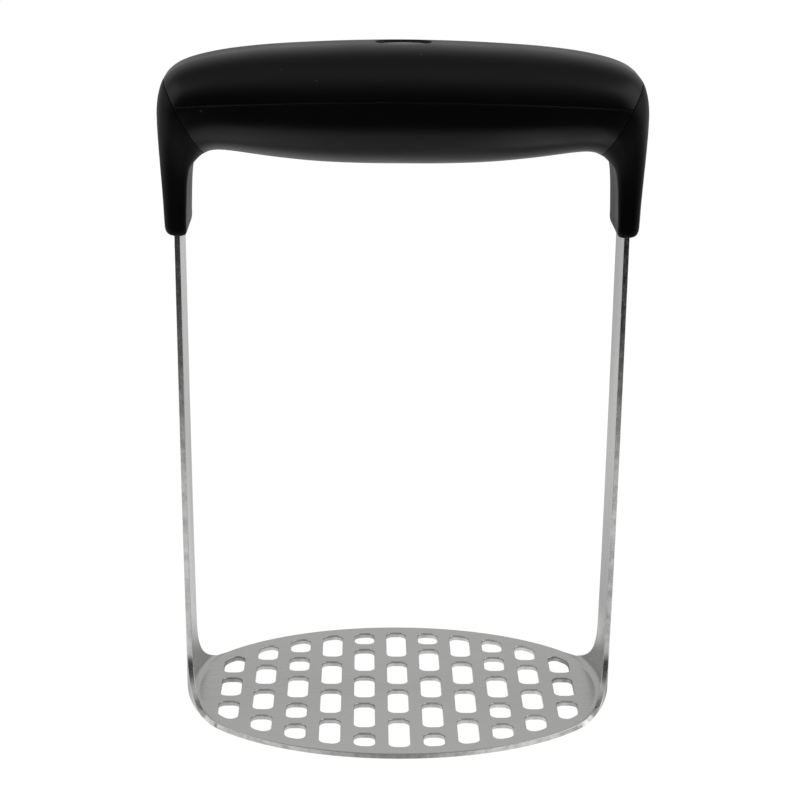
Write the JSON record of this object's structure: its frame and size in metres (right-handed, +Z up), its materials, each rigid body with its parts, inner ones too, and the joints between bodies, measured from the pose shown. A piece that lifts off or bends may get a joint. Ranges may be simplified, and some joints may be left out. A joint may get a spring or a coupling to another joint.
{
  "type": "potato masher",
  "caption": "Hand potato masher with an oval perforated steel plate, upright side straps and a broad soft horizontal grip.",
  "frame": {"origin": "centre of the underside of the perforated plate, which is the resting face", "axes": "+X along the handle to the right, -Y to the front, +Z up from the plate to the grip"},
  "size_m": [0.125, 0.0792, 0.1824],
  "materials": {
    "blade_steel": "long-grain brushed stainless sheet",
    "rigid_core": "fine matte moulded",
    "fastener_steel": "plain bright steel",
    "soft_grip": "satin soft rubber",
    "badge_gloss": "smooth gloss, blank"
  },
  "bodies": {
    "root": {"blade": "blade_steel", "core_front": "rigid_core", "core_rear": "rigid_core", "pin_left_lower": "fastener_steel", "pin_left_upper": "fastener_steel", "pin_right_lower": "fastener_steel", "pin_right_upper": "fastener_steel", "screw_left": "fastener_steel", "screw_right": "fastener_steel", "grip_lower": "soft_grip", "grip_upper": "soft_grip", "badge": "badge_gloss"}
  },
  "joints": []
}
